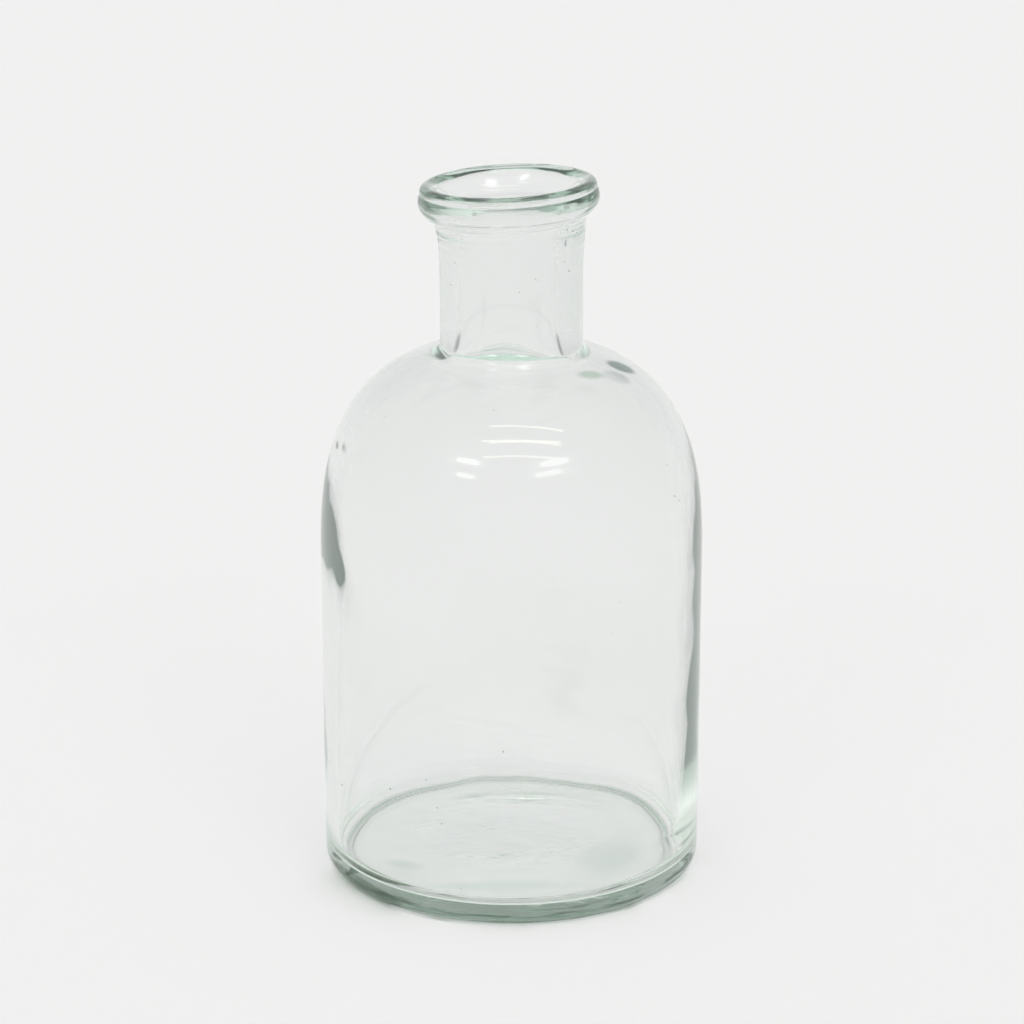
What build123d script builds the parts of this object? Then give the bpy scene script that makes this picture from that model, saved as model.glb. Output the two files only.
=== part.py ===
"""Glass bud vase: a stout apothecary-style bottle with a hand-tooled, slightly crooked lip.

The glass is one continuous wall, made here as the five regions that a glassmaker names:
base, body wall, shoulder, neck and lip ring.  They meet face to face.
Units are millimetres.  +Z is up, and the origin is the centre of the footprint.
"""

import math
import os

from build123d import *

# Driving dimensions
BODY_RADIUS = 37.5  # outside of the cylindrical body
WALL = 2.6  # nominal wall of the blown body
HEEL_RADIUS = 2.8  # outside rounding between body and underside
FLOOR_EDGE = 3.4  # height of the inside floor where it meets the corner round
FLOOR_CENTRE = 5.0  # height of the inside floor on the axis
CORNER_RADIUS = 3.6  # inside rounding between wall and floor
REST_RING_INNER = 30.5  # inner edge of the flat ring that the vase stands on
PUSH_UP = 1.2  # rise of the hollow in the underside
PUSH_EDGE_RADIUS = 23.5  # the hollow's soft edge passes through this circle
PUSH_EDGE_HEIGHT = 0.4
BASE_TOP = 10.0  # base and body wall meet here
SHOULDER_START = 62.8  # the outline leaves the cylinder here
SHOULDER_HEIGHT = 43.4  # height of the full shoulder curve above its start
SHOULDER_POWER = 2.8  # exponent of the shoulder's superellipse
SHOULDER_GLASS = 3.6  # glass thickness at the crown of the shoulder
NECK_RADIUS = 13.8  # outside of the neck
NECK_TOP_RADIUS = 14.6  # the neck flares to this under the lip
NECK_FLARE_START = 120.0  # height at which the flare begins
FOOT_FILLET = 2.0  # rounding between shoulder and neck, outside
BORE_RADIUS = 9.55  # straight bore of the neck
BORE_START = 112.5  # the bore is straight from here
BORE_END = 125.5  # to here, where the funnel of the mouth begins
BORE_FOOT_RADIUS = 15.0  # the bore's bell mouth runs into the shoulder's inside here
FUNNEL_KNOTS = [(9.95, 128.2), (10.9, 131.4), (11.9, 134.0)]  # funnel wall inside the neck
LIP_BASE = 132.0  # the lip ring sits on the neck here, on the neck's axis
LIP_TILT = 2.75  # degrees, the +X side of the lip is the higher one
LIP_SHIFT = -0.4  # the lip's centre along X
# Outline of the lip ring, radius and height above its seat
LIP_SEAT = (15.4, 0.0)  # outside of the lip where it meets the neck
LIP_BEAD = (17.45, 3.0)  # widest point
LIP_EDGE = (16.8, 5.75)  # outer edge of the rim
LIP_CROWN = (15.3, 6.3)  # highest circle
LIP_MOUTH = (13.5, 5.2)  # edge of the funnel
LIP_FUNNEL = (12.2, 2.6)  # a point on the bowed wall of the funnel
LIP_BORE = (11.1, 0.0)  # bore of the lip where it meets the neck
TRIM = 60.0  # half-width of the boxes that trim the section, wider than the vase
CURVE_STEPS = 6  # spans of each shoulder curve


def shoulder_points(full_radius, full_height, end_radius):
    """Points on the shoulder curve, from the cylinder to end_radius, evenly turned."""
    end = math.acos((end_radius / full_radius) ** (SHOULDER_POWER / 2))
    points = []
    for step in range(CURVE_STEPS + 1):
        turn = end * step / CURVE_STEPS
        radius = full_radius * math.cos(turn) ** (2 / SHOULDER_POWER)
        height = full_height * math.sin(turn) ** (2 / SHOULDER_POWER)
        points.append((radius, SHOULDER_START + height))
    return points


def end_direction(points):
    """Direction of the last span of a curve, for a smooth way on."""
    (x0, y0), (x1, y1) = points[-2:]
    return (x1 - x0, y1 - y0)


outer_shoulder = shoulder_points(BODY_RADIUS, SHOULDER_HEIGHT, NECK_RADIUS + FOOT_FILLET)
inner_shoulder = shoulder_points(
    BODY_RADIUS - WALL, SHOULDER_HEIGHT - SHOULDER_GLASS, BORE_FOOT_RADIUS
)
NECK_START = outer_shoulder[-1][1] + FOOT_FILLET
BORE_FOOT = inner_shoulder[-1][1]
LIP_PLANE = Plane(
    origin=(LIP_SHIFT, 0, LIP_BASE),
    x_dir=(math.cos(math.radians(LIP_TILT)), 0, math.sin(math.radians(LIP_TILT))),
    z_dir=(0, -1, 0),
)
LIP_AXIS = Axis(LIP_PLANE.origin, LIP_PLANE.y_dir)
SEAT_PLANE = Plane(origin=LIP_PLANE.origin, z_dir=LIP_PLANE.y_dir)
SECTION_TOP = LIP_BASE + 2.0  # the neck is made this high, then cut on the lip's seat


# Right-hand half of the whole glass wall, from the underside to above the neck's top
inside = BODY_RADIUS - WALL
with BuildLine() as wall_outline:
    Line((REST_RING_INNER, 0), (BODY_RADIUS - HEEL_RADIUS, 0))
    RadiusArc(
        (BODY_RADIUS - HEEL_RADIUS, 0), (BODY_RADIUS, HEEL_RADIUS), -HEEL_RADIUS
    )
    Line((BODY_RADIUS, HEEL_RADIUS), outer_shoulder[0])
    Spline(*outer_shoulder, tangents=[(0, 1), end_direction(outer_shoulder)])
    Spline(
        outer_shoulder[-1],
        (NECK_RADIUS, NECK_START),
        tangents=[end_direction(outer_shoulder), (0, 1)],
    )
    Line((NECK_RADIUS, NECK_START), (NECK_RADIUS, NECK_FLARE_START))
    TangentArc(
        (NECK_RADIUS, NECK_FLARE_START), (NECK_TOP_RADIUS, SECTION_TOP), tangent=(0, 1)
    )
    Line((NECK_TOP_RADIUS, SECTION_TOP), FUNNEL_KNOTS[-1])
    Spline(
        *FUNNEL_KNOTS[::-1],
        (BORE_RADIUS, BORE_END),
        tangents=[(-0.4, -1), (0, -1)],
    )
    Line((BORE_RADIUS, BORE_END), (BORE_RADIUS, BORE_START))
    Spline(
        (BORE_RADIUS, BORE_START),
        inner_shoulder[-1],
        tangents=[(0, -1), tuple(-part for part in end_direction(inner_shoulder))],
    )
    Spline(*inner_shoulder, tangents=[(0, 1), end_direction(inner_shoulder)])
    Line(inner_shoulder[0], (inside, FLOOR_EDGE + CORNER_RADIUS))
    RadiusArc(
        (inside, FLOOR_EDGE + CORNER_RADIUS),
        (inside - CORNER_RADIUS, FLOOR_EDGE),
        CORNER_RADIUS,
    )
    Spline(
        (inside - CORNER_RADIUS, FLOOR_EDGE),
        (0, FLOOR_CENTRE),
        tangents=[(-1, 0), (-1, 0)],
    )
    Line((0, FLOOR_CENTRE), (0, PUSH_UP))
    Spline(
        (0, PUSH_UP),
        (PUSH_EDGE_RADIUS, PUSH_EDGE_HEIGHT),
        (REST_RING_INNER, 0),
        tangents=[(1, 0), (1, 0)],
    )


def keep_between(low, high):
    """Trim the section being drawn to a band of heights."""
    with Locations((0, (low + high) / 2)):
        Rectangle(2 * TRIM, high - low, mode=Mode.INTERSECT)


# Base: the floor, the push-up under it, the heel and the foot of the wall
with BuildPart() as base:
    with BuildSketch(Plane.XZ):
        make_face(wall_outline.line)
        keep_between(0, BASE_TOP)
    revolve(axis=Axis.Z)

# Body wall: the plain cylinder of glass
with BuildPart() as body_wall:
    with BuildSketch(Plane.XZ):
        make_face(wall_outline.line)
        keep_between(BASE_TOP, SHOULDER_START)
    revolve(axis=Axis.Z)

# Shoulder: the dome from the body to the foot of the neck
with BuildPart() as shoulder:
    with BuildSketch(Plane.XZ):
        make_face(wall_outline.line)
        keep_between(SHOULDER_START, NECK_START)
    revolve(axis=Axis.Z)

# Neck: thick tube with a straight bore that bells out at its foot, cut off on the lip's seat
with BuildPart() as neck:
    with BuildSketch(Plane.XZ):
        make_face(wall_outline.line)
        keep_between(NECK_START, SECTION_TOP)
    revolve(axis=Axis.Z)
    split(bisect_by=SEAT_PLANE, keep=Keep.BOTTOM)

# Lip ring: the bead laid on hot and tooled, a little crooked, with a funnel mouth
with BuildPart() as lip_ring:
    with BuildSketch(LIP_PLANE):
        with BuildLine():
            Spline(LIP_SEAT, LIP_BEAD, tangents=[(1, 0.5), (0, 1)])
            Spline(LIP_BEAD, LIP_EDGE, tangents=[(0, 1), (-0.25, 1)])
            Spline(LIP_EDGE, LIP_CROWN, LIP_MOUTH, tangents=[(-0.25, 1), (-0.6, -1)])
            Spline(LIP_MOUTH, LIP_FUNNEL, LIP_BORE, tangents=[(-0.6, -1), (-0.4, -1)])
            Line(LIP_BORE, LIP_SEAT)
        make_face()
    revolve(axis=LIP_AXIS)

parts = {
    "base": base.part,
    "body_wall": body_wall.part,
    "shoulder": shoulder.part,
    "neck": neck.part,
    "lip_ring": lip_ring.part,
}
os.makedirs("parts", exist_ok=True)
for name, solid in parts.items():
    solid.label = name
    export_step(solid, f"parts/{name}.step")
    box = solid.bounding_box()
    print(f"{name}: {solid.volume:.0f} mm3, z {box.min.Z:.2f} to {box.max.Z:.2f}")
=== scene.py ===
import math
import bmesh
import bpy
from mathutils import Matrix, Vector


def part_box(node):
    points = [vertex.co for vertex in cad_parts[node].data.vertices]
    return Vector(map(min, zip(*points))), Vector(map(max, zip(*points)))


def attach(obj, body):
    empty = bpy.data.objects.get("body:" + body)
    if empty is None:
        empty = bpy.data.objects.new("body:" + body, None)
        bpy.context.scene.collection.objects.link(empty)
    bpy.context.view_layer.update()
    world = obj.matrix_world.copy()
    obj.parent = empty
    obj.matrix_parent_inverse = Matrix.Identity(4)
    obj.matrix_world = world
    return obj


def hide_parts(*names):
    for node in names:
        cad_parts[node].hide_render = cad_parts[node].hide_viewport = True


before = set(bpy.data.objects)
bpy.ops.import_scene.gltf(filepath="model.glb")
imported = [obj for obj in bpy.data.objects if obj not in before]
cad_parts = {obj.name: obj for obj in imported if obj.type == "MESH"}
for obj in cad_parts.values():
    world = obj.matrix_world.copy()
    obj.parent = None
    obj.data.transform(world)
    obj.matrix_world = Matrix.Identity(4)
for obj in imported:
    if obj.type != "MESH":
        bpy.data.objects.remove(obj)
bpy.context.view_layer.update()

print("frame loaded:", ", ".join(sorted(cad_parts)))

mm = 0.001
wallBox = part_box("body_wall")
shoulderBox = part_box("shoulder")
bodyRadius = wallBox[1].x
shoulderStart = shoulderBox[0].z


# node tree helpers

def addNode(tree, kind, x=0, y=0, **settings):
    node = tree.nodes.new(kind)
    node.location = (x, y)
    for name, value in settings.items():
        setattr(node, name, value)
    return node


def plug(tree, out, into):
    tree.links.new(out, into)
    return out


def setOrPlug(tree, value, into):
    if isinstance(value, (int, float)):
        into.default_value = value
    else:
        plug(tree, value, into)


def maths(tree, operation, a, b=None, x=0, y=0):
    node = addNode(tree, "ShaderNodeMath", x, y, operation=operation)
    for slot, value in enumerate((a, b)):
        if value is not None:
            setOrPlug(tree, value, node.inputs[slot])
    return node.outputs[0]


def softStep(tree, value, low, high, x, y, rising=True):
    node = addNode(tree, "ShaderNodeMapRange", x, y, interpolation_type="SMOOTHSTEP")
    plug(tree, value, node.inputs["Value"])
    setOrPlug(tree, low, node.inputs["From Min"])
    setOrPlug(tree, high, node.inputs["From Max"])
    node.inputs["To Min"].default_value = 0.0 if rising else 1.0
    node.inputs["To Max"].default_value = 1.0 if rising else 0.0
    return node.outputs[0]


def attribute(tree, name, x, y, kind="FLOAT"):
    node = addNode(tree, "GeometryNodeInputNamedAttribute", x, y, data_type=kind)
    node.inputs["Name"].default_value = name
    return node.outputs["Attribute"]


def socketIn(tree, name, kind, value=None):
    socket = tree.interface.new_socket(name=name, in_out="INPUT", socket_type=kind)
    if value is not None:
        socket.default_value = value
    return socket


def applyTree(objectIn, tree, values):
    modifier = objectIn.modifiers.new(tree.name, "NODES")
    modifier.node_group = tree
    for item in tree.interface.items_tree:
        if item.item_type == "SOCKET" and item.in_out == "INPUT" and item.name in values:
            modifier[item.identifier] = values[item.name]
    bpy.context.view_layer.update()
    graph = bpy.context.evaluated_depsgraph_get()
    mesh = bpy.data.meshes.new_from_object(objectIn.evaluated_get(graph))
    objectIn.modifiers.clear()
    return mesh


# sizes of the glass outline, in millimetres

outline = {
    "pushUp": 1.2,
    "pushRadius": 23.5,
    "pushEase": 3.0,
    "pushCrown": 0.25,  # share of the hollow lost by pushReach
    "pushReach": 24.0,
    "restInner": 30.5,
    "restLift": 0.06,
    "restTouch": 33.0,
    "heelRadius": 2.8,
    "wall": 2.6,
    "shoulderHeight": 43.4,
    "shoulderPower": 2.8,
    "shoulderGlass": 3.6,
    "neckRadius": 13.8,
    "neckTopRadius": 14.5,
    "flareStart": 120.0,
    "toolMarkStart": 125.0,  # faint rings that the tool leaves under the lip
    "toolMarkPitch": 1.7,
    "toolMarkHeight": 0.05,
    "neckEnd": 1.6,  # the neck ends this far under the lip's foot
    "bore": 9.55,
    "boreStart": 112.5,
    "boreEnd": 125.5,
    "bellRadius": 15.0,
    "floorEdge": 3.4,
    "floorCentre": 5.0,
    "cornerRadius": 3.6,
    "lipBase": 132.0,
    "fillet": 2.0,
    "calmBelow": 36.0,  # the inside wanders less and less under this height
    "driftFade": 9.0,  # the drift fades out towards the axis from this radius
}
# outline of the lip and its funnel: radius, and height above the lip's foot
lipKnots = [(15.0, -0.6), (16.3, 0.5), (17.2, 1.8), (17.45, 3.0), (17.25, 4.1), (17.0, 4.6), (17.02, 5.0),
            (16.8, 5.75), (16.2, 6.15), (15.3, 6.3), (14.3, 5.95), (13.5, 5.2)]
funnelKnots = [(13.5, 5.2), (12.2, 2.6), (10.9, -0.6), (9.95, -3.8)]

# part of the outline: rows, then the slow and the quick wander at its start and end, in millimetres
wander = {
    "underside": (30, (0.25, 0.0), (0.14, 0.0)),
    "restRing": (3, (0.0, 0.0), (0.0, 0.0)),
    "heel": (10, (0.0, 0.03), (0.0, 0.01)),
    "body": (24, (0.03, 0.05), (0.01, 0.01)),
    "shoulder": (42, (0.05, 0.04), (0.01, 0.01)),
    "neckFoot": (10, (0.04, 0.04), (0.01, 0.01)),
    "neck": (10, (0.04, 0.05), (0.01, 0.01)),
    "flare": (24, (0.05, 0.05), (0.01, 0.02)),
    "lip": (64, (0.06, 0.1), (0.02, 0.03)),
    "funnel": (20, (0.1, 0.08), (0.03, 0.02)),
    "bore": (10, (0.06, 0.06), (0.02, 0.02)),
    "bell": (24, (0.06, 0.15), (0.02, 0.03)),
    "innerShoulder": (34, (0.15, 0.2), (0.03, 0.03)),
    "innerBody": (14, (0.2, 0.09), (0.03, 0.02)),
    "innerFoot": (14, (0.09, 0.03), (0.02, 0.01)),
    "corner": (14, (0.03, 0.03), (0.01, 0.01)),
    "floor": (26, (0.05, 0.3), (0.01, 0.16)),
}

# how the inside leaves the round: thick places in one turn, and the wave that places them
driftWaves = {
    "once": (1, "SINE"),
    "twice": (2, "SINE"),
    "threeTimes": (3, "SINE"),
    "fourTimes": (4, "SINE"),
    "toSide": (1, "COSINE"),
}
outlineLayers = ["slow", "quick", *driftWaves]

# height, and how far the wall swells there in each of those waves
wallDrift = [
    (0.0, (0.0, 0.0, 0.0, 0.0, 0.0)),
    (8.0, (0.15, 0.075, 0.0, 0.0, 0.0)),
    (14.0, (0.55, 0.275, 0.0, 0.0, 0.0)),
    (26.0, (0.75, 0.375, 0.0, 0.0, 0.0)),
    (38.0, (0.6, 0.3, 0.0, 0.0, 0.0)),
    (50.0, (0.0, 0.0, 0.23, 0.209, 0.0)),
    (60.0, (0.0, 0.0, 0.292, 0.153, 0.0)),
    (70.0, (0.0, 0.0, 0.416, 0.041, 0.0)),
    (76.0, (0.0, 0.0, 0.422, -0.065, 0.0)),
    (81.0, (0.0, 0.0, 0.334, -0.07, 0.0)),
    (83.0, (0.0, 0.0, 0.141, 0.072, 0.0)),
    (88.0, (0.0, 0.0, 0.093, 0.065, 0.0)),
    (96.0, (0.0, 0.0, 0.082, 0.0, 0.2)),
    (104.0, (0.0, 0.0, 0.0, 0.0, 0.45)),
    (112.0, (0.0, 0.0, 0.0, 0.0, 0.5)),
    (126.0, (0.0, 0.0, 0.0, 0.0, 0.4)),
    (134.0, (0.0, 0.0, 0.0, 0.0, 0.0)),
    (150.0, (0.0, 0.0, 0.0, 0.0, 0.0)),
]


def driftAt(z):
    for (low, a), (high, b) in zip(wallDrift, wallDrift[1:]):
        if z <= high:
            t = max(0.0, (z - low) / (high - low))
            t = t * t * (3 - 2 * t)
            return tuple(p + (q - p) * t for p, q in zip(a, b))
    return (0.0,) * len(driftWaves)


def evenly(points, count):
    # the same line with count evenly spaced points
    lengths = [0.0]
    for a, b in zip(points, points[1:]):
        lengths.append(lengths[-1] + math.dist(a, b))
    result = []
    piece = 0
    for step in range(count):
        target = lengths[-1] * step / (count - 1)
        while piece < len(points) - 2 and lengths[piece + 1] < target:
            piece += 1
        span = lengths[piece + 1] - lengths[piece] or 1.0
        share = (target - lengths[piece]) / span
        a, b = points[piece], points[piece + 1]
        result.append((a[0] + (b[0] - a[0]) * share, a[1] + (b[1] - a[1]) * share))
    return result


def throughKnots(knots, startTangent=None, endTangent=None, steps=24):
    # smooth line through a few knots
    tangents = []
    for i in range(len(knots)):
        a = knots[max(0, i - 1)]
        b = knots[min(len(knots) - 1, i + 1)]
        tangents.append(((b[0] - a[0]) / 2, (b[1] - a[1]) / 2))
    if startTangent:
        size = math.dist(knots[0], knots[1])
        tangents[0] = (startTangent[0] * size, startTangent[1] * size)
    if endTangent:
        size = math.dist(knots[-1], knots[-2])
        tangents[-1] = (endTangent[0] * size, endTangent[1] * size)
    line = []
    for i in range(len(knots) - 1):
        for s in range(steps):
            t = s / steps
            h = (2 * t**3 - 3 * t**2 + 1, t**3 - 2 * t**2 + t, -2 * t**3 + 3 * t**2, t**3 - t**2)
            line.append(tuple(
                h[0] * knots[i][k] + h[1] * tangents[i][k]
                + h[2] * knots[i + 1][k] + h[3] * tangents[i + 1][k]
                for k in (0, 1)
            ))
    line.append(tuple(knots[-1]))
    return line


def shoulderLine(radius, height, endRadius, steps=160):
    power = outline["shoulderPower"]
    end = math.acos((endRadius / radius) ** (power / 2))
    line = []
    for step in range(steps + 1):
        turn = end * (step / steps) ** 1.3
        r = radius * math.cos(turn) ** (2 / power)
        z = shoulderStart / mm + height * math.sin(turn) ** (2 / power)
        line.append((r, z))
    return line


def quarterTurn(r, z, radius, start, step):
    # quarter of a circle round (r, z), in 30 steps of 3 degrees
    turns = [math.radians(start + step * i) for i in range(31)]
    return [(r + radius * math.cos(a), z + radius * math.sin(a)) for a in turns]


def undersideLine(steps=60):
    o = outline
    line = []
    for i in range(steps + 1):
        r = o["restInner"] * i / steps
        edge = 1 / (1 + math.exp((r - o["pushRadius"]) / o["pushEase"]))
        crown = 1 - o["pushCrown"] * (r / o["pushReach"]) ** 2
        line.append((r, o["restLift"] + o["pushUp"] * edge * crown * (1 - (i / steps) ** 8)))
    return line


def neckLine(start, top, steps=60):
    o = outline
    line = [start]
    for i in range(steps + 1):
        z = o["flareStart"] + (top - o["flareStart"]) * i / steps
        flare = (o["neckTopRadius"] - o["neckRadius"]) * (i / steps) ** 2
        mark = 0.0
        if z > o["toolMarkStart"]:
            mark = o["toolMarkHeight"] * math.sin((z - o["toolMarkStart"]) * 2 * math.pi / o["toolMarkPitch"])
        line.append((o["neckRadius"] + flare + mark, z))
    return line


def floorLine(reach, steps=40):
    low = outline["floorEdge"]
    rise = outline["floorCentre"] - low
    return [(reach * (1 - i / steps), low + rise * math.sin(math.pi * i / steps / 2) ** 2)
            for i in range(steps + 1)]


def glassOutline():
    # the whole section, from the axis under the vase, up outside, over the lip and down inside
    o = outline
    r0 = bodyRadius / mm
    z0 = shoulderStart / mm
    inside = r0 - o["wall"]
    rows = []

    def add(part, points, inner=False):
        count, slow, quick = wander[part]
        for i, (r, z) in enumerate(evenly(points, count)):
            if rows and i == 0:
                continue
            share = i / (count - 1)
            slowHere = slow[0] + (slow[1] - slow[0]) * share
            quickHere = quick[0] + (quick[1] - quick[0]) * share
            drift = driftAt(z) if inner else (0.0,) * len(driftWaves)
            fade = min(1.0, r / o["driftFade"])
            rows.append((max(r, 0.0), z, slowHere, quickHere, *[d * fade for d in drift]))

    add("underside", undersideLine())
    h, lift, touch = o["heelRadius"], o["restLift"], o["restTouch"]
    ring = [(o["restInner"], lift), (touch - 0.6, lift), (touch - 0.3, 0), (touch + 0.3, 0),
            (touch + 0.6, lift), (r0 - h, lift)]
    for a, b in zip(ring, ring[1:]):
        add("restRing", [a, b])
    heel = quarterTurn(r0 - h, lift + h, h, -90, 3)
    add("heel", heel)
    add("body", [heel[-1], (r0, z0)])
    dome = shoulderLine(r0, o["shoulderHeight"], o["neckRadius"] + o["fillet"])
    add("shoulder", dome)
    foot = throughKnots([dome[-1], (o["neckRadius"], dome[-1][1] + o["fillet"])], (-0.98, 0.2), (0, 1))
    add("neckFoot", foot)
    top = o["lipBase"] - o["neckEnd"]
    neck = neckLine(foot[-1], top)
    add("neck", neck[:2])
    add("flare", neck[1:])
    lip = [(neck[-1][0], top)] + [(r, o["lipBase"] + z) for r, z in lipKnots]
    add("lip", throughKnots(lip, (0.35, 1.0), (-0.55, -0.95)))

    funnel = [(r, o["lipBase"] + z) for r, z in funnelKnots] + [(o["bore"], o["boreEnd"])]
    add("funnel", throughKnots(funnel, (-0.5, -0.9), (0, -1)), inner=True)
    add("bore", [(o["bore"], o["boreEnd"]), (o["bore"], o["boreStart"])], inner=True)
    innerDome = shoulderLine(inside, o["shoulderHeight"] - o["shoulderGlass"], o["bellRadius"])
    end, before = innerDome[-1], innerDome[-2]
    size = math.dist(end, before)
    tangent = ((before[0] - end[0]) / size, (before[1] - end[1]) / size)
    add("bell", throughKnots([(o["bore"], o["boreStart"]), end], (0, -1), tangent), inner=True)
    add("innerShoulder", innerDome[::-1], inner=True)
    c = o["cornerRadius"]
    add("innerBody", [(inside, z0), (inside, o["calmBelow"])], inner=True)
    add("innerFoot", [(inside, o["calmBelow"]), (inside, o["floorEdge"] + c)], inner=True)
    add("corner", quarterTurn(inside - c, o["floorEdge"] + c, c, 0, -3), inner=True)
    add("floor", floorLine(inside - c), inner=True)
    rows[0] = (0.0,) + rows[0][1:]
    rows[-1] = (0.0,) + rows[-1][1:]
    return rows


lathe = {
    "Steps Around": 256,
    "Slow Size": 38.0,
    "Quick Size": 120.0,
    "Wander": 1.0,
    "Seed": 3.0,
    "Lip Tilt": math.radians(2.75),
    "Lip Centre": (0.0, 0.0, 0.132),
    "Lip Shift": (-0.0004, 0.0, 0.0),
    "Tilt Start": 0.126,
}


# the lathe: turns the outline into a closed skin and lets the glass wander as hand-blown glass does

def latheTree():
    tree = bpy.data.node_groups.new("glassLathe", "GeometryNodeTree")
    for name, kind in (("Outline", "Geometry"), ("Steps Around", "Int"), ("Slow Size", "Float"),
                       ("Quick Size", "Float"), ("Wander", "Float"), ("Seed", "Float"), ("Lip Tilt", "Float"),
                       ("Lip Centre", "Vector"), ("Lip Shift", "Vector"), ("Tilt Start", "Float"),
                       ("Glass", "Material")):
        socketIn(tree, name, "NodeSocket" + kind, lathe.get(name))
    tree.interface.new_socket(name="Skin", in_out="OUTPUT", socket_type="NodeSocketGeometry")
    given = addNode(tree, "NodeGroupInput", -1800, 0)
    size = addNode(tree, "GeometryNodeAttributeDomainSize", -1600, 200, component="MESH")
    plug(tree, given.outputs["Outline"], size.inputs[0])
    rows = size.outputs["Point Count"]
    around = given.outputs["Steps Around"]
    grid = addNode(tree, "GeometryNodeMeshGrid", -1400, 200)
    plug(tree, maths(tree, "ADD", around, 1, -1600, 0), grid.inputs["Vertices X"])
    plug(tree, rows, grid.inputs["Vertices Y"])
    index = addNode(tree, "GeometryNodeInputIndex", -1600, -200).outputs[0]
    counted = maths(tree, "DIVIDE", maths(tree, "ADD", index, 0.5, -1400, -150), rows, -1200, -200)
    column = maths(tree, "FLOOR", counted, None, -1000, -200)
    row = maths(tree, "SUBTRACT", index, maths(tree, "MULTIPLY", column, rows, -1200, -350), -1000, -350)
    share = maths(tree, "DIVIDE", column, around, -800, -200)
    angle = maths(tree, "MULTIPLY", share, 2 * math.pi, -600, -200)
    place = addNode(tree, "GeometryNodeInputPosition", -1400, -500)

    def sampled(value, kind, y):
        node = addNode(tree, "GeometryNodeSampleIndex", -800, y, data_type=kind, domain="POINT")
        plug(tree, given.outputs["Outline"], node.inputs[0])
        plug(tree, value, node.inputs["Value"])
        plug(tree, row, node.inputs["Index"])
        return node.outputs[0]

    point = addNode(tree, "ShaderNodeSeparateXYZ", -600, -500)
    plug(tree, sampled(place.outputs[0], "FLOAT_VECTOR", -500), point.inputs[0])
    turned = addNode(tree, "ShaderNodeCombineXYZ", -200, -300)
    for slot, wave in ((0, "COSINE"), (1, "SINE")):
        swing = maths(tree, wave, angle, None, -400, -200 - 150 * slot)
        level = maths(tree, "MULTIPLY", point.outputs[0], swing, -300, -200 - 150 * slot)
        plug(tree, level, turned.inputs[slot])
    plug(tree, point.outputs[2], turned.inputs[2])

    store = grid.outputs["Mesh"]
    for order, name in enumerate(outlineLayers):
        y = -700 - 200 * order
        keep = addNode(tree, "GeometryNodeStoreNamedAttribute", -200, y, data_type="FLOAT", domain="POINT")
        keep.inputs["Name"].default_value = name
        plug(tree, store, keep.inputs["Geometry"])
        plug(tree, sampled(attribute(tree, name, -1400, y), "FLOAT", y), keep.inputs["Value"])
        store = keep.outputs[0]
    shaped = addNode(tree, "GeometryNodeSetPosition", 0, 0)
    plug(tree, store, shaped.inputs["Geometry"])
    plug(tree, turned.outputs[0], shaped.inputs["Position"])
    merged = addNode(tree, "GeometryNodeMergeByDistance", 200, 0)
    merged.inputs["Distance"].default_value = 1e-6
    plug(tree, shaped.outputs[0], merged.inputs[0])

    # the inside wall is off centre and out of round
    here = addNode(tree, "GeometryNodeInputPosition", 200, -300)
    spot = addNode(tree, "ShaderNodeSeparateXYZ", 200, 500)
    plug(tree, here.outputs[0], spot.inputs[0])
    bearing = maths(tree, "ARCTAN2", spot.outputs[1], spot.outputs[0], 300, 600)
    drift = None
    for order, (name, (turns, operation)) in enumerate(driftWaves.items()):
        y = 300 + 150 * order
        wave = maths(tree, operation, maths(tree, "MULTIPLY", bearing, turns, 500, y), None, 600, y)
        part = maths(tree, "MULTIPLY", attribute(tree, name, 400, y), wave, 700, y)
        drift = part if drift is None else maths(tree, "ADD", drift, part, 800, y)
    level = addNode(tree, "ShaderNodeCombineXYZ", 400, 300)
    plug(tree, spot.outputs[0], level.inputs[0])
    plug(tree, spot.outputs[1], level.inputs[1])
    outward = addNode(tree, "ShaderNodeVectorMath", 500, 300, operation="NORMALIZE")
    plug(tree, level.outputs[0], outward.inputs[0])
    inwards = addNode(tree, "ShaderNodeVectorMath", 700, 300, operation="SCALE")
    plug(tree, outward.outputs[0], inwards.inputs[0])
    plug(tree, maths(tree, "MULTIPLY", drift, -1.0, 900, 500), inwards.inputs["Scale"])
    drifted = addNode(tree, "GeometryNodeSetPosition", 900, 200)
    plug(tree, merged.outputs[0], drifted.inputs["Geometry"])
    plug(tree, inwards.outputs[0], drifted.inputs["Offset"])

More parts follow.
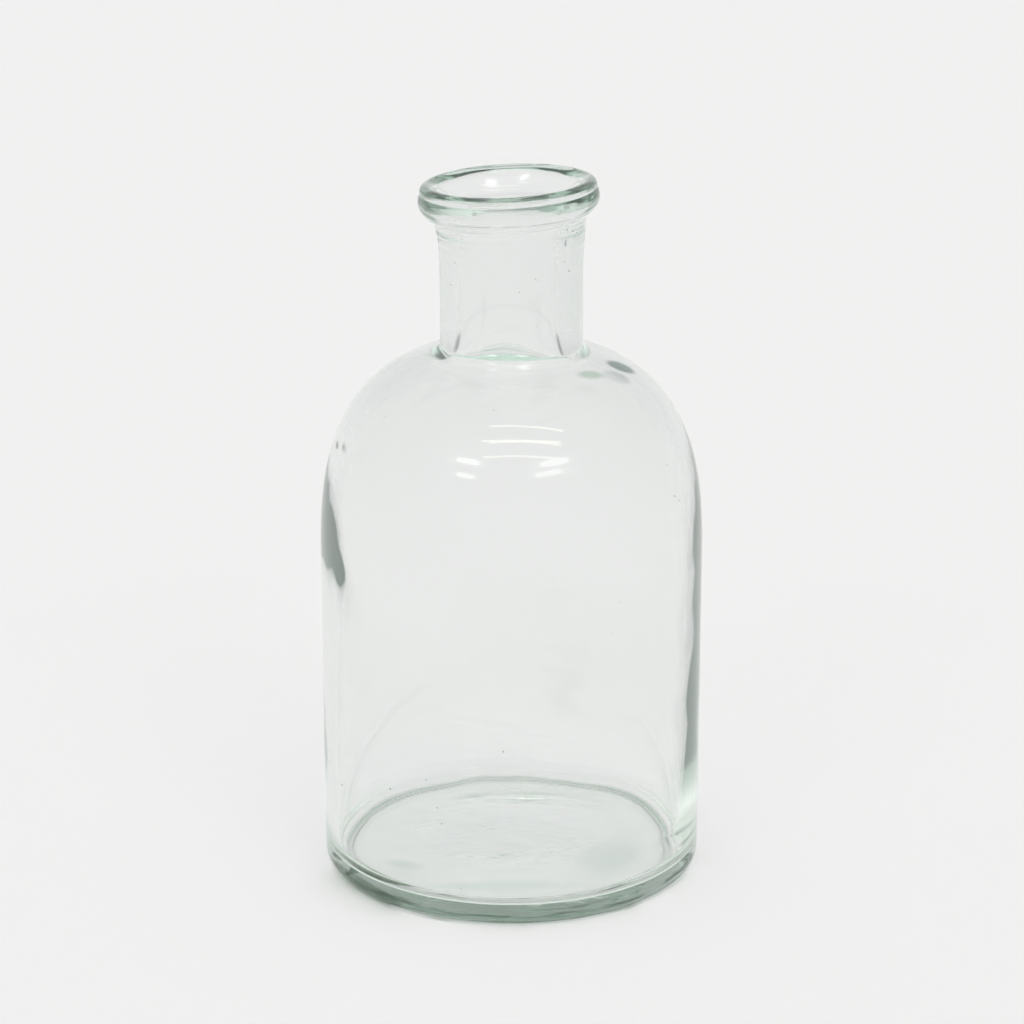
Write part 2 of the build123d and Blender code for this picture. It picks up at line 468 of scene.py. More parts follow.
    # wander along the normal
    normal = addNode(tree, "GeometryNodeInputNormal", 600, -500)
    total = None
    for name, sizeName, y, shift in (("slow", "Slow Size", -300, 0.0), ("quick", "Quick Size", -600, 17.3)):
        noise = addNode(tree, "ShaderNodeTexNoise", 400, y, noise_dimensions="4D")
        noise.inputs["Detail"].default_value = 1.0
        noise.inputs["Roughness"].default_value = 0.4
        plug(tree, here.outputs[0], noise.inputs["Vector"])
        plug(tree, given.outputs[sizeName], noise.inputs["Scale"])
        plug(tree, maths(tree, "ADD", given.outputs["Seed"], shift, 300, y), noise.inputs["W"])
        centred = maths(tree, "SUBTRACT", noise.outputs[0], 0.5, 500, y)
        centred = maths(tree, "MULTIPLY", centred, 4.0, 600, y)
        part = maths(tree, "MULTIPLY", centred, attribute(tree, name, 500, y - 150), 700, y)
        total = part if total is None else maths(tree, "ADD", total, part, 800, y)
    total = maths(tree, "MULTIPLY", total, given.outputs["Wander"], 900, -400)
    push = addNode(tree, "ShaderNodeVectorMath", 1000, -400, operation="SCALE")
    plug(tree, normal.outputs[0], push.inputs[0])
    plug(tree, total, push.inputs["Scale"])
    wandered = addNode(tree, "GeometryNodeSetPosition", 1100, 0)
    plug(tree, drifted.outputs[0], wandered.inputs["Geometry"])
    plug(tree, push.outputs[0], wandered.inputs["Offset"])

    # the lip leans and sits a little to one side
    height = addNode(tree, "ShaderNodeSeparateXYZ", 1100, -700)
    plug(tree, here.outputs[0], height.inputs[0])
    centre = addNode(tree, "ShaderNodeSeparateXYZ", 1000, -900)
    plug(tree, given.outputs["Lip Centre"], centre.inputs[0])
    ramp = softStep(tree, height.outputs[2], given.outputs["Tilt Start"], centre.outputs[2], 1250, -700)
    lean = addNode(tree, "ShaderNodeVectorRotate", 1400, -500, rotation_type="AXIS_ANGLE")
    plug(tree, here.outputs[0], lean.inputs["Vector"])
    plug(tree, given.outputs["Lip Centre"], lean.inputs["Center"])
    lean.inputs["Axis"].default_value = (0, -1, 0)
    plug(tree, maths(tree, "MULTIPLY", ramp, given.outputs["Lip Tilt"], 1300, -600), lean.inputs["Angle"])
    aside = addNode(tree, "ShaderNodeVectorMath", 1400, -800, operation="SCALE")
    plug(tree, given.outputs["Lip Shift"], aside.inputs[0])
    plug(tree, ramp, aside.inputs["Scale"])
    leaned = addNode(tree, "GeometryNodeSetPosition", 1600, 0)
    plug(tree, wandered.outputs[0], leaned.inputs["Geometry"])
    plug(tree, lean.outputs[0], leaned.inputs["Position"])
    plug(tree, aside.outputs[0], leaned.inputs["Offset"])
    smooth = addNode(tree, "GeometryNodeSetShadeSmooth", 1800, 0)
    plug(tree, leaned.outputs[0], smooth.inputs[0])
    real = addNode(tree, "GeometryNodeRealizeInstances", 2000, 0)
    plug(tree, smooth.outputs[0], real.inputs[0])
    dressed = addNode(tree, "GeometryNodeSetMaterial", 2200, 0)
    plug(tree, real.outputs[0], dressed.inputs[0])
    plug(tree, given.outputs["Glass"], dressed.inputs["Material"])
    result = addNode(tree, "NodeGroupOutput", 2400, 0)
    plug(tree, dressed.outputs[0], result.inputs[0])
    return tree


glassLook = {
    "ior": 1.52,
    "absorb": (0.29, 0.425, 0.345),
    "density": 20.0,  # per metre
    "paintedGlowAtBounceCap": 9,  # bounce cap, and the depth from which the glass emits a painted glow, standing in for light that runs along inside the wall
    "paintedGlowTop": 140.0,  # height in mm where the ramp of that glow ends
    # height above the floor in mm, and the colour of that painted glow there
    "paintedGlowByHeight": (
        (0.0, (0.74, 0.73, 0.71)),
        (6.0, (0.72, 0.72, 0.7)),
        (14.0, (0.62, 0.74, 0.66)),
        (80.0, (0.68, 0.74, 0.715)),
        (112.0, (0.74, 0.72, 0.72)),
        (128.0, (0.74, 0.72, 0.71)),
    ),
    # where that painted glow is weaker, as painted shade: distance from the middle plane, heights where it
    # starts and stops, share lost
    "paintedShadeOnGlow": (
        # painted shade at the ends of the lip
        ((6.0, 14.5), (120.0, 127.0), (160.0, 170.0), 0.93),
        # painted shade in bands down the left and right sides
        ((20.0, 28.0), (10.0, 16.0), (86.0, 94.0), 0.77),
        # painted shade low in the body, all round
        ((-2.0, -1.0), (6.0, 12.0), (42.0, 56.0), 0.45),
    ),
}


# tinted spots in the glass, most of them painted shade: centre and half-sizes in millimetres, turn in
# degrees, tint of the light there, softness
marks = {
    # painted shade: a dark patch and a green streak painted into the shoulder glass
    "shoulderPaintedShade": ((21.1, -3.9, 102.7), (3.3, 2.3, 1.6), (0, 20, 33), (0.07, 0.12, 0.11), 0.25),
    "shoulderPaintedStreak": ((15.0, -12.6, 103.5), (3.4, 1.3, 1.2), (0, -8, 25), (0.45, 0.6, 0.47), 0.5),
    # a small dark spot at the left side of the dome
    "sideDarkSpot": ((-33.6, -7.0, 87.9), (0.9, 1.6, 0.6), (0, 40, 0), (0.12, 0.16, 0.14), 0.4),
    # painted shade: thin dark patches painted at the left and right of the neck's foot
    "neckFootShadeLeft": ((-10.5, 0.0, 107.3), (0.34, 2.4, 2.1), (0, 12, 0), (0.02, 0.03, 0.03), 0.4),
    "neckFootShadeRight": ((9.95, 0.0, 107.3), (0.34, 2.4, 2.1), (0, -16, 0), (0.02, 0.03, 0.03), 0.4),
    # painted shade: darker patches painted into the glass floor, in place of the shaded paper seen through
    # the base
    "floorShadeLeft": ((-21.3, -14.7, 4.0), (3.2, 1.4, 2.4), (0, 0, -32), (0.66, 0.76, 0.69), 0.8),
    "floorShadeRight": ((20.0, -11.5, 4.0), (5.4, 9.0, 2.4), (0, 0, -32), (0.84, 0.89, 0.86), 0.35),
    "floorShadeFront": ((-3.0, -25.0, 4.0), (15.0, 1.6, 2.4), (0, 0, 0), (0.78, 0.87, 0.81), 0.7),
    # painted shade: a dark green patch painted into the left front of the heel
    "heelShadeLeft": ((-29.8, -21.0, 1.8), (13.2, 5.0, 2.6), (0, 0, -54.7), (0.2, 0.27, 0.2), 0.12),
}
# dark streaks in the heel: scale round it and up it, and the band of noise values that turns dark
streaks = {
    "around": 90.0,
    "upright": 1400.0,
    "low": 0.53,
    "high": 0.63,
    "tint": (0.22, 0.28, 0.22),
    "fadeHeights": (3.2, 4.5),  # mm above the floor
    "fadeDepths": (3.5, 2.0),  # mm in from the outside
}
# ripples in the glass floor: scale along X and Y, height in metres, and the radius and height in mm
# of the space that they fill
ripples = {"across": 150.0, "along": 290.0, "height": 0.00011, "reach": 22.0, "below": 8.0}


def spotTree():
    # one soft-edged ellipsoid of glass, as a mask
    tree = bpy.data.node_groups.new("glassSpot", "ShaderNodeTree")
    for name, kind, value in (("Place", "NodeSocketVector", None), ("Centre", "NodeSocketVector", None),
                              ("Turn", "NodeSocketVector", None), ("Size", "NodeSocketVector", (1, 1, 1)),
                              ("Soft", "NodeSocketFloat", 0.4)):
        socketIn(tree, name, kind, value)
    tree.interface.new_socket(name="Mask", in_out="OUTPUT", socket_type="NodeSocketFloat")
    given = addNode(tree, "NodeGroupInput", -900, 0)
    away = addNode(tree, "ShaderNodeVectorMath", -700, 0, operation="SUBTRACT")
    plug(tree, given.outputs["Place"], away.inputs[0])
    plug(tree, given.outputs["Centre"], away.inputs[1])
    turned = addNode(tree, "ShaderNodeVectorRotate", -500, 0, rotation_type="EULER_XYZ", invert=True)
    plug(tree, away.outputs[0], turned.inputs["Vector"])
    plug(tree, given.outputs["Turn"], turned.inputs["Rotation"])
    shares = addNode(tree, "ShaderNodeVectorMath", -300, 0, operation="DIVIDE")
    plug(tree, turned.outputs[0], shares.inputs[0])
    plug(tree, given.outputs["Size"], shares.inputs[1])
    far = addNode(tree, "ShaderNodeVectorMath", -100, 0, operation="LENGTH")
    plug(tree, shares.outputs[0], far.inputs[0])
    nearEdge = maths(tree, "SUBTRACT", 1.0, given.outputs["Soft"], -100, -200)
    farEdge = maths(tree, "ADD", 1.0, given.outputs["Soft"], -100, -350)
    mask = softStep(tree, far.outputs["Value"], nearEdge, farEdge, 100, 0, False)
    result = addNode(tree, "NodeGroupOutput", 300, 0)
    plug(tree, mask, result.inputs[0])
    return tree


def streakTree():
    # thin streaks round the front of the heel, and ripples in the floor
    tree = bpy.data.node_groups.new("glassStreaks", "ShaderNodeTree")
    socketIn(tree, "Place", "NodeSocketVector")
    for name in ("Around", "Upright", "Low", "High", "Across", "Along", "Reach"):
        socketIn(tree, name, "NodeSocketFloat")
    tree.interface.new_socket(name="Streaks", in_out="OUTPUT", socket_type="NodeSocketFloat")
    tree.interface.new_socket(name="Ripples", in_out="OUTPUT", socket_type="NodeSocketFloat")
    given = addNode(tree, "NodeGroupInput", -1300, 0)
    parts = addNode(tree, "ShaderNodeSeparateXYZ", -1100, 0)
    plug(tree, given.outputs["Place"], parts.inputs[0])
    x, y, z = parts.outputs
    squares = [maths(tree, "MULTIPLY", part, part, -900, 200) for part in (x, y)]
    far = maths(tree, "SQRT", maths(tree, "ADD", *squares, -700, 200), None, -500, 200)
    bearing = maths(tree, "ARCTAN2", x, y, -900, -150)
    around = maths(tree, "MULTIPLY", bearing, bodyRadius, -700, -150)

    spread = addNode(tree, "ShaderNodeCombineXYZ", -500, -100)
    plug(tree, maths(tree, "MULTIPLY", around, given.outputs["Around"], -600, -150), spread.inputs[0])
    plug(tree, maths(tree, "MULTIPLY", z, given.outputs["Upright"], -700, -300), spread.inputs[1])
    grain = addNode(tree, "ShaderNodeTexNoise", -300, -100)
    grain.inputs["Scale"].default_value = 1.0
    grain.inputs["Detail"].default_value = 3.0
    plug(tree, spread.outputs[0], grain.inputs["Vector"])
    dark = softStep(tree, grain.outputs[0], given.outputs["Low"], given.outputs["High"], -100, -100)
    low = softStep(tree, z, *[level * mm for level in streaks["fadeHeights"]], -300, 200, False)
    outer = softStep(tree, far, *[bodyRadius - depth * mm for depth in streaks["fadeDepths"]], -300, 450)
    band = maths(tree, "MULTIPLY", low, outer, -100, 300)
    band = maths(tree, "MULTIPLY", band, maths(tree, "LESS_THAN", y, 0.0, -100, 500), 0, 300)

    stretch = addNode(tree, "ShaderNodeCombineXYZ", -500, -500)
    plug(tree, maths(tree, "MULTIPLY", x, given.outputs["Across"], -700, -500), stretch.inputs[0])
    plug(tree, maths(tree, "MULTIPLY", y, given.outputs["Along"], -700, -650), stretch.inputs[1])
    rough = addNode(tree, "ShaderNodeTexNoise", -300, -500)
    rough.inputs["Scale"].default_value = 1.0
    rough.inputs["Detail"].default_value = 2.0
    plug(tree, stretch.outputs[0], rough.inputs["Vector"])
    inner = maths(tree, "MULTIPLY", given.outputs["Reach"], 0.7, -500, -800)
    middle = softStep(tree, far, inner, given.outputs["Reach"], -300, -750, False)
    under = maths(tree, "LESS_THAN", z, ripples["below"] * mm, -300, -950)
    floorOnly = maths(tree, "MULTIPLY", middle, under, -100, -800)
    result = addNode(tree, "NodeGroupOutput", 300, 0)
    plug(tree, maths(tree, "MULTIPLY", band, dark, 100, 0), result.inputs[0])
    plug(tree, maths(tree, "MULTIPLY", rough.outputs[0], floorOnly, 100, -500), result.inputs[1])
    return tree


def tinted(tree, colour, tint, mask, x, y):
    mix = addNode(tree, "ShaderNodeMix", x, y, data_type="RGBA", blend_type="MULTIPLY")
    sockets = [s for s in mix.inputs if s.type == "RGBA"]
    sockets[0].default_value = (1, 1, 1, 1)
    sockets[1].default_value = (*tint, 1)
    if colour is not None:
        plug(tree, colour, sockets[0])
    plug(tree, mask, mix.inputs[0])
    return [s for s in mix.outputs if s.type == "RGBA"][0]


def addMarks(tree, place, shader):
    # marks (most of them painted shade) and streaks tint the light that passes, and ripples bend it
    spot = spotTree()
    colour = None
    for order, (centre, size, turn, tint, soft) in enumerate(marks.values()):
        mask = addNode(tree, "ShaderNodeGroup", -1800, -200 * order, node_tree=spot)
        plug(tree, place, mask.inputs["Place"])
        mask.inputs["Centre"].default_value = [c * mm for c in centre]
        mask.inputs["Turn"].default_value = [math.radians(c) for c in turn]
        mask.inputs["Size"].default_value = [c * mm for c in size]
        mask.inputs["Soft"].default_value = soft
        colour = tinted(tree, colour, tint, mask.outputs[0], -1500 + 120 * order, -200 * order)
    grain = addNode(tree, "ShaderNodeGroup", -1800, -2200, node_tree=streakTree())
    plug(tree, place, grain.inputs["Place"])
    for name in ("around", "upright", "low", "high"):
        grain.inputs[name.title()].default_value = streaks[name]
    for name in ("across", "along"):
        grain.inputs[name.title()].default_value = ripples[name]
    grain.inputs["Reach"].default_value = ripples["reach"] * mm
    colour = tinted(tree, colour, streaks["tint"], grain.outputs["Streaks"], -300, 0)
    plug(tree, colour, shader.inputs["Base Color"])
    bump = addNode(tree, "ShaderNodeBump", -300, -900)
    bump.inputs["Distance"].default_value = ripples["height"]
    plug(tree, grain.outputs["Ripples"], bump.inputs["Height"])
    plug(tree, bump.outputs[0], shader.inputs["Normal"])


def addPaintedGlow(tree, place, shader):
    # painted glow: once a path reaches the bounce cap the glass emits light of its own, standing in for light
    # that runs along inside the wall and leaks out after a while
    path = addNode(tree, "ShaderNodeLightPath", -600, -300)
    paintedGlowOn = maths(tree, "GREATER_THAN", path.outputs["Ray Depth"], glassLook["paintedGlowAtBounceCap"] - 0.5, -400, -300)
    plug(tree, paintedGlowOn, shader.inputs["Emission Strength"])
    spot = addNode(tree, "ShaderNodeSeparateXYZ", -800, -600)
    plug(tree, place, spot.inputs[0])
    x, z = spot.outputs[0], spot.outputs[2]
    glow = addNode(tree, "ShaderNodeValToRGB", -400, -600)
    plug(tree, maths(tree, "DIVIDE", z, glassLook["paintedGlowTop"] * mm, -600, -600), glow.inputs[0])
    stops = glow.color_ramp.elements
    while len(stops) < len(glassLook["paintedGlowByHeight"]):
        stops.new(1.0)
    for stop, (level, shade) in zip(stops, glassLook["paintedGlowByHeight"]):
        stop.position = level / glassLook["paintedGlowTop"]
        stop.color = (*shade, 1)
    # painted shade: the glow is dimmed in the listed zones
    dim = None
    for order, (aside, rise, fall, share) in enumerate(glassLook["paintedShadeOnGlow"]):
        y = -1200 - 700 * order
        out = maths(tree, "ABSOLUTE", x, None, -1000, y)
        part = softStep(tree, out, aside[0] * mm, aside[1] * mm, -800, y)
        above = softStep(tree, z, rise[0] * mm, rise[1] * mm, -800, y - 200)
        below = softStep(tree, z, fall[0] * mm, fall[1] * mm, -800, y - 400, False)
        part = maths(tree, "MULTIPLY", part, above, -600, y)
        part = maths(tree, "MULTIPLY", part, below, -500, y)
        part = maths(tree, "MULTIPLY", part, share, -400, y)
        dim = part if dim is None else maths(tree, "MAXIMUM", dim, part, -300, y)
    dimmed = addNode(tree, "ShaderNodeVectorMath", -100, -600, operation="SCALE")
    plug(tree, glow.outputs[0], dimmed.inputs[0])
    plug(tree, maths(tree, "SUBTRACT", 1.0, dim, -100, -1100), dimmed.inputs["Scale"])
    plug(tree, dimmed.outputs[0], shader.inputs["Emission Color"])


def glassMaterial():
    material = bpy.data.materials.new("seaGreenGlass")
    material.use_nodes = True
    tree = material.node_tree
    tree.nodes.clear()
    shader = addNode(tree, "ShaderNodeBsdfPrincipled", 0, 0)
    shader.inputs["Metallic"].default_value = 0.0
    shader.inputs["Roughness"].default_value = 0.0
    shader.inputs["IOR"].default_value = glassLook["ior"]
    shader.inputs["Transmission Weight"].default_value = 1.0
    place = addNode(tree, "ShaderNodeTexCoord", -2200, 0).outputs["Object"]
    addMarks(tree, place, shader)
    addPaintedGlow(tree, place, shader)
    # the painted glow is not sampled as a light
    material.cycles.emission_sampling = "NONE"

    depth = addNode(tree, "ShaderNodeVolumeAbsorption", 0, -900)
    depth.inputs["Color"].default_value = (*glassLook["absorb"], 1)
    depth.inputs["Density"].default_value = glassLook["density"]
    out = addNode(tree, "ShaderNodeOutputMaterial", 400, 0)
    plug(tree, shader.outputs[0], out.inputs["Surface"])
    plug(tree, depth.outputs[0], out.inputs["Volume"])
    return material


def makeGlass():
    rows = glassOutline()
    mesh = bpy.data.meshes.new("glassOutline")
    points = [(row[0] * mm, 0.0, row[1] * mm) for row in rows]
    mesh.from_pydata(points, [(i, i + 1) for i in range(len(points) - 1)], [])
    for column, name in enumerate(outlineLayers, 2):
        layer = mesh.attributes.new(name, "FLOAT", "POINT")
        layer.data.foreach_set("value", [row[column] * mm for row in rows])
    holder = bpy.data.objects.new("glassOutline", mesh)
    bpy.context.scene.collection.objects.link(holder)
    glass = glassMaterial()
    skinMesh = applyTree(holder, latheTree(), dict(lathe, Glass=glass))
    bpy.data.objects.remove(holder)
    skinMesh.name = "glassSkin"
    for name in outlineLayers:
        if name in skinMesh.attributes:
            skinMesh.attributes.remove(skinMesh.attributes[name])
    skin = bpy.data.objects.new("glassSkin", skinMesh)
    bpy.context.scene.collection.objects.link(skin)
    print("glass skin:", len(rows), "rows,", len(skinMesh.polygons), "faces")
    return skin


# seeds, the small bubbles in the wall: bearing from the front towards +X in degrees, height, radius
# of the circle they lie on, width and height of the bubble, in millimetres
seeds = [
    (50.5, 128.2, 12.4, 0.55, 1.5), (50.4, 130.9, 12.9, 0.5, 0.4), (58.0, 130.2, 12.9, 0.6, 0.35),
    (65.5, 129.5, 12.7, 0.45, 0.3), (77.6, 123.6, 12.2, 0.3, 0.45), (56.7, 122.5, 12.2, 0.32, 0.5),
    (20.6, 122.0, 12.2, 0.3, 0.25), (6.5, 119.6, 12.2, 0.26, 0.26), (-55.0, 124.1, 12.2, 0.26, 0.3),
    (-62.0, 119.5, 12.2, 0.28, 0.4), (24.0, 121.6, 12.4, 0.22, 0.2), (22.0, 112.8, 12.0, 0.24, 0.2),
    (-63.9, 21.1, 36.3, 0.6, 0.5), (-39.3, 25.3, 36.3, 0.5, 0.45), (-26.4, 29.0, 36.2, 0.3, 0.3),
    (-22.9, 23.6, 36.2, 0.4, 0.35), (-21.4, 20.5, 36.2, 0.5, 0.3), (-2.4, 36.3, 36.2, 0.4, 0.4),
    (-15.6, 7.5, 35.9, 0.35, 0.3), (31.0, 58.1, 36.2, 0.4, 0.25), (34.0, 64.0, 36.2, 0.26, 0.3),
    (70.5, 92.2, 31.0, 0.45, 0.3), (60.1, 86.8, 33.4, 0.3, 0.3), (60.2, 80.9, 35.0, 0.4, 0.35),
    (62.5, 79.6, 35.4, 0.35, 0.3), (-7.7, 99.4, 24.0, 0.26, 0.3), (-57.2, 95.6, 28.0, 0.3, 0.3),
    (66.0, 46.0, 36.2, 0.35, 0.4), (68.0, 33.0, 36.2, 0.3, 0.3), (64.0, 24.0, 36.2, 0.3, 0.35),
    (12.0, 70.0, 36.1, 0.2, 0.3), (-48.0, 66.0, 36.2, 0.22, 0.3),
]
seedRoundness = 2


def seedTree():
    tree = bpy.data.node_groups.new("glassSeeds", "GeometryNodeTree")
    socketIn(tree, "Places", "NodeSocketGeometry")
    socketIn(tree, "Roundness", "NodeSocketInt", seedRoundness)
    socketIn(tree, "Glass", "NodeSocketMaterial")
    tree.interface.new_socket(name="Seeds", in_out="OUTPUT", socket_type="NodeSocketGeometry")
    given = addNode(tree, "NodeGroupInput", -900, 0)
    ball = addNode(tree, "GeometryNodeMeshIcoSphere", -700, -200)
    ball.inputs["Radius"].default_value = 1.0
    plug(tree, given.outputs["Roundness"], ball.inputs["Subdivisions"])
    hollow = addNode(tree, "GeometryNodeFlipFaces", -500, -200)
    plug(tree, ball.outputs[0], hollow.inputs[0])
    spread = attribute(tree, "spread", -700, -500, "FLOAT_VECTOR")
    put = addNode(tree, "GeometryNodeInstanceOnPoints", -300, 0)
    plug(tree, given.outputs["Places"], put.inputs["Points"])
    plug(tree, hollow.outputs[0], put.inputs["Instance"])
    plug(tree, spread, put.inputs["Scale"])
    real = addNode(tree, "GeometryNodeRealizeInstances", -100, 0)
    plug(tree, put.outputs[0], real.inputs[0])
    smooth = addNode(tree, "GeometryNodeSetShadeSmooth", 100, 0)
    plug(tree, real.outputs[0], smooth.inputs[0])
    dressed = addNode(tree, "GeometryNodeSetMaterial", 300, 0)
    plug(tree, smooth.outputs[0], dressed.inputs[0])
    plug(tree, given.outputs["Glass"], dressed.inputs["Material"])
    result = addNode(tree, "NodeGroupOutput", 500, 0)
    plug(tree, dressed.outputs[0], result.inputs[0])
    return tree


def addSeeds(skin):
    # the bubbles become part of the skin, so that they are holes in the same glass
    mesh = bpy.data.meshes.new("seedPlaces")
    places = []
    for bearing, z, r, wide, tall in seeds:
        turn = math.radians(bearing)
        places.append((r * math.sin(turn) * mm, -r * math.cos(turn) * mm, z * mm))
    mesh.from_pydata(places, [], [])
    layer = mesh.attributes.new("spread", "FLOAT_VECTOR", "POINT")
    for item, (bearing, z, r, wide, tall) in zip(layer.data, seeds):
        item.vector = (wide / 2 * mm, wide / 2 * mm, tall / 2 * mm)
    holder = bpy.data.objects.new("seedPlaces", mesh)
    bpy.context.scene.collection.objects.link(holder)
    bubbles = applyTree(holder, seedTree(), {"Roundness": seedRoundness, "Glass": skin.data.materials[0]})
    bpy.data.objects.remove(holder)
    both = bmesh.new()
    both.from_mesh(skin.data)
    both.from_mesh(bubbles)
    both.to_mesh(skin.data)
    both.free()
    bpy.data.meshes.remove(bubbles)
    print("seeds:", len(seeds))


glassSkin = makeGlass()
addSeeds(glassSkin)
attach(glassSkin, "root")
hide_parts("base", "body_wall", "shoulder", "neck", "lip_ring")


# studio

studio = {
    "paper": (0.863, 0.863, 0.863),
    "sky": 1.0,
    "glowLow": 0.86,
    "glowHigh": 0.75,
    "glowRise": (0.05, 0.6),
    "paperReach": 12.0,
}

# soft windows: bearing from the front towards +X, height above the horizon, full width and height, in degrees
windows = {
    "left": {"bearing": -33, "rise": 38.5, "wide": 15, "tall": 4.2, "glow": 5.0, "halo": 1.5},
    "right": {"bearing": 32, "rise": 38.5, "wide": 18, "tall": 5.0, "glow": 4.6, "halo": 1.5},
}
# long thin tubes: bearing and height of each end, thickness
tubes = {
    "high": {"ends": ((-34, 69.6), (59, 58.3)), "thick": 1.3, "glow": 4.0},
    "low": {"ends": ((-22, 55.6), (44, 49.5)), "thick": 1.3, "glow": 4.0},
}
warmGlow = (1.0, 0.97, 0.8)
# edges of those lights: the power that rounds a window's corners, then where each fade begins and ends,
# in that rounded distance for windows, and in shares of thickness and half-length for tubes
softEdges = {
    "corner": 3.0,
    "window": (0.6, 1.3),
    "halo": (0.5, 12.0),
    "tube": (0.4, 0.9),
    "tubeEnds": (1.02, 0.97),
}


def heading(bearing, rise):
    a, e = math.radians(bearing), math.radians(rise)
    return Vector((math.sin(a) * math.cos(e), -math.cos(a) * math.cos(e), math.sin(e)))


def dotted(tree, direction, axis, x, y):
    node = addNode(tree, "ShaderNodeVectorMath", x, y, operation="DOT_PRODUCT")
    plug(tree, direction, node.inputs[0])
    node.inputs[1].default_value = axis
    return node.outputs["Value"]


def windowGlow(tree, direction, facts, y):
    ahead = heading(facts["bearing"], facts["rise"])
    right = heading(facts["bearing"] + 90, 0)
    up = right.cross(ahead)
    spread = None
    for order, (axis, size) in enumerate(((right, facts["wide"]), (up, facts["tall"]))):
        level = y - 150 * order
        away = dotted(tree, direction, axis, -1400, level)
        away = maths(tree, "MULTIPLY", away, 1 / math.tan(math.radians(size / 2)), -1200, level)
        away = maths(tree, "ABSOLUTE", away, None, -1100, level)
        away = maths(tree, "POWER", away, softEdges["corner"], -1000, level)
        spread = away if spread is None else maths(tree, "ADD", spread, away, -900, y)
    core = softStep(tree, spread, *softEdges["window"], -700, y, False)
    halo = softStep(tree, spread, *softEdges["halo"], -700, y - 150, False)
    halo = maths(tree, "MULTIPLY", halo, facts["halo"] / facts["glow"], -600, y - 150)
    shape = maths(tree, "MAXIMUM", core, halo, -550, y)
    front = maths(tree, "GREATER_THAN", dotted(tree, direction, ahead, -1400, y - 300), 0.0, -900, y - 300)
    return maths(tree, "MULTIPLY", maths(tree, "MULTIPLY", shape, front, -500, y), facts["glow"], -400, y)


def tubeGlow(tree, direction, facts, y):
    a, b = (heading(*end) for end in facts["ends"])
    middle = (a + b).normalized()
    across = a.cross(b).normalized()
    half = math.acos(max(-1.0, min(1.0, a.dot(b)))) / 2
    off = maths(tree, "ABSOLUTE", dotted(tree, direction, across, -1400, y), None, -1200, y)
    sides = [math.radians(facts["thick"]) * share for share in softEdges["tube"]]
    thin = softStep(tree, off, *sides, -1000, y, False)
    ends = [math.cos(half * share) for share in softEdges["tubeEnds"]]
    reach = softStep(tree, dotted(tree, direction, middle, -1400, y - 150), *ends, -1000, y - 150)
    return maths(tree, "MULTIPLY", maths(tree, "MULTIPLY", thin, reach, -800, y), facts["glow"], -600, y)


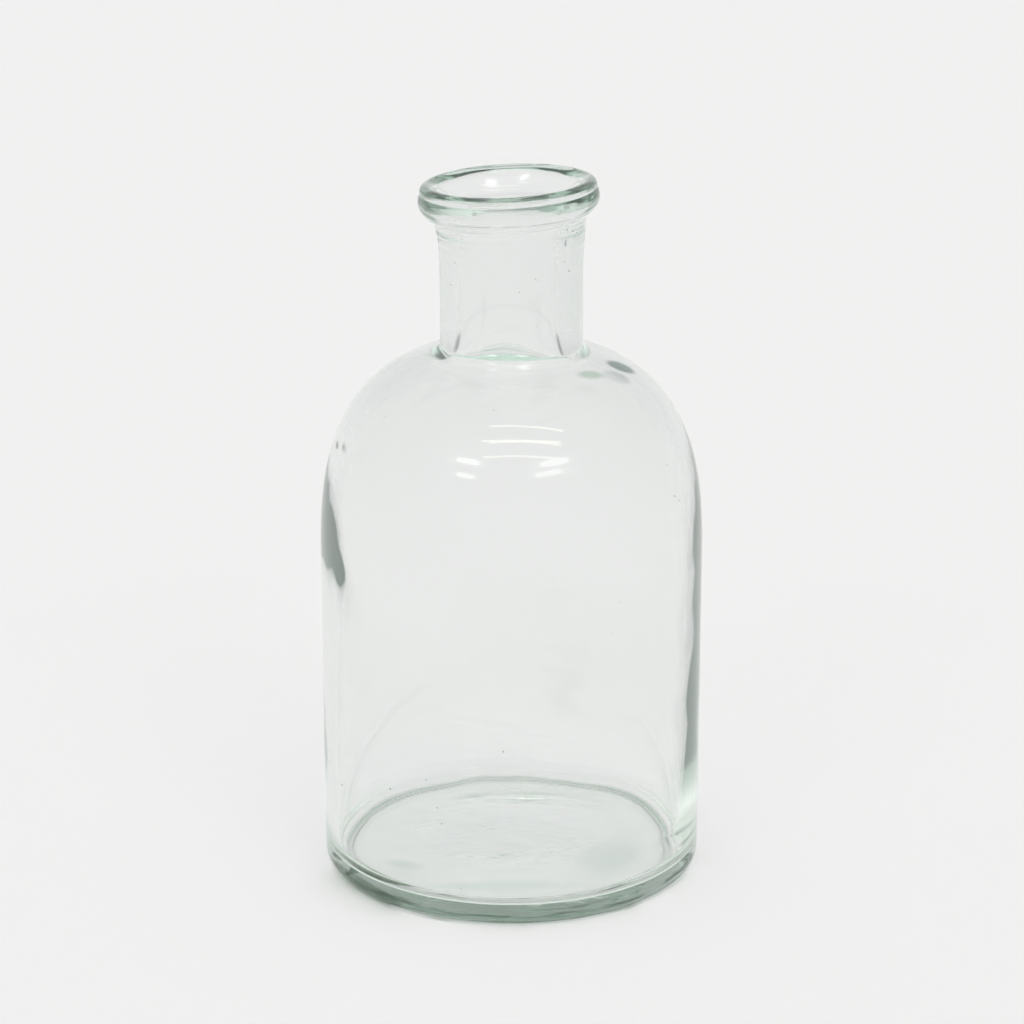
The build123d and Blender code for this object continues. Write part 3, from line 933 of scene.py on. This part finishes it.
def makeStudio():
    floorMesh = bpy.data.meshes.new("paperFloor")
    reach = studio["paperReach"]
    corners = [(-reach, -reach, 0), (reach, -reach, 0), (reach, reach, 0), (-reach, reach, 0)]
    floorMesh.from_pydata(corners, [], [(0, 1, 2, 3)])
    paper = bpy.data.objects.new("paperFloor", floorMesh)
    bpy.context.scene.collection.objects.link(paper)
    material = bpy.data.materials.new("palePaper")
    material.use_nodes = True
    shader = material.node_tree.nodes["Principled BSDF"]
    shader.inputs["Base Color"].default_value = (*studio["paper"], 1)
    shader.inputs["Roughness"].default_value = 1.0
    shader.inputs["Specular IOR Level"].default_value = 0.0
    floorMesh.materials.append(material)

    world = bpy.data.worlds.new("studio")
    bpy.context.scene.world = world
    world.use_nodes = True
    tree = world.node_tree
    tree.nodes.clear()
    direction = addNode(tree, "ShaderNodeTexCoord", -900, 0)
    parts = addNode(tree, "ShaderNodeSeparateXYZ", -700, 0)
    plug(tree, direction.outputs["Generated"], parts.inputs[0])
    rise = addNode(tree, "ShaderNodeMapRange", -500, 0, interpolation_type="SMOOTHSTEP")
    plug(tree, parts.outputs[2], rise.inputs["Value"])
    rise.inputs["From Min"].default_value = studio["glowRise"][0]
    rise.inputs["From Max"].default_value = studio["glowRise"][1]
    rise.inputs["To Min"].default_value = studio["glowLow"]
    rise.inputs["To Max"].default_value = studio["glowHigh"]
    glow = rise.outputs[0]
    for order, facts in enumerate(windows.values()):
        y = -600 - 400 * order
        part = windowGlow(tree, direction.outputs["Generated"], facts, y)
        glow = maths(tree, "MAXIMUM", glow, part, -300, y)
    warm = None
    for order, facts in enumerate(tubes.values()):
        y = -1500 - 300 * order
        part = tubeGlow(tree, direction.outputs["Generated"], facts, y)
        warm = part if warm is None else maths(tree, "ADD", warm, part, -400, y)
    room = addNode(tree, "ShaderNodeBackground", -200, 100)
    plug(tree, glow, room.inputs["Strength"])
    tubesOn = addNode(tree, "ShaderNodeBackground", -200, -300)
    tubesOn.inputs["Color"].default_value = (*warmGlow, 1)
    plug(tree, warm, tubesOn.inputs["Strength"])
    both = addNode(tree, "ShaderNodeAddShader", 0, 0)
    plug(tree, room.outputs[0], both.inputs[0])
    plug(tree, tubesOn.outputs[0], both.inputs[1])
    tent = addNode(tree, "ShaderNodeBackground", -200, -100)
    tent.inputs["Strength"].default_value = studio["sky"]
    tent.inputs["Color"].default_value = (1, 1, 1, 1)
    room.inputs["Color"].default_value = (1, 1, 1, 1)
    path = addNode(tree, "ShaderNodeLightPath", -500, 400)
    mix = addNode(tree, "ShaderNodeMixShader", 100, 0)
    plug(tree, maths(tree, "MINIMUM", path.outputs["Diffuse Depth"], 1.0, -200, 400), mix.inputs[0])
    plug(tree, both.outputs[0], mix.inputs[1])
    plug(tree, tent.outputs[0], mix.inputs[2])
    out = addNode(tree, "ShaderNodeOutputWorld", 300, 0)
    plug(tree, mix.outputs[0], out.inputs[0])


makeStudio()


cameraFacts = {
    "place": (0.0001, -0.61545, 0.27003),
    "pitchDown": 17.829,
    "lens": 115.78,
}


def makeCamera():
    data = bpy.data.cameras.new("camera")
    data.lens = cameraFacts["lens"]
    data.sensor_width = 36
    data.clip_start = 0.01
    data.clip_end = 100
    camera = bpy.data.objects.new("camera", data)
    camera.location = cameraFacts["place"]
    camera.rotation_euler = (math.radians(90 - cameraFacts["pitchDown"]), 0, 0)
    bpy.context.scene.collection.objects.link(camera)
    bpy.context.scene.camera = camera


makeCamera()
scene = bpy.context.scene
scene.view_settings.view_transform = "Standard"
# the bounce cap is also where the painted glow of the glass begins
scene.cycles.max_bounces = glassLook["paintedGlowAtBounceCap"]
scene.cycles.glossy_bounces = glassLook["paintedGlowAtBounceCap"]
scene.cycles.transmission_bounces = glassLook["paintedGlowAtBounceCap"]
scene.cycles.diffuse_bounces = 4
scene.cycles.blur_glossy = 0.0
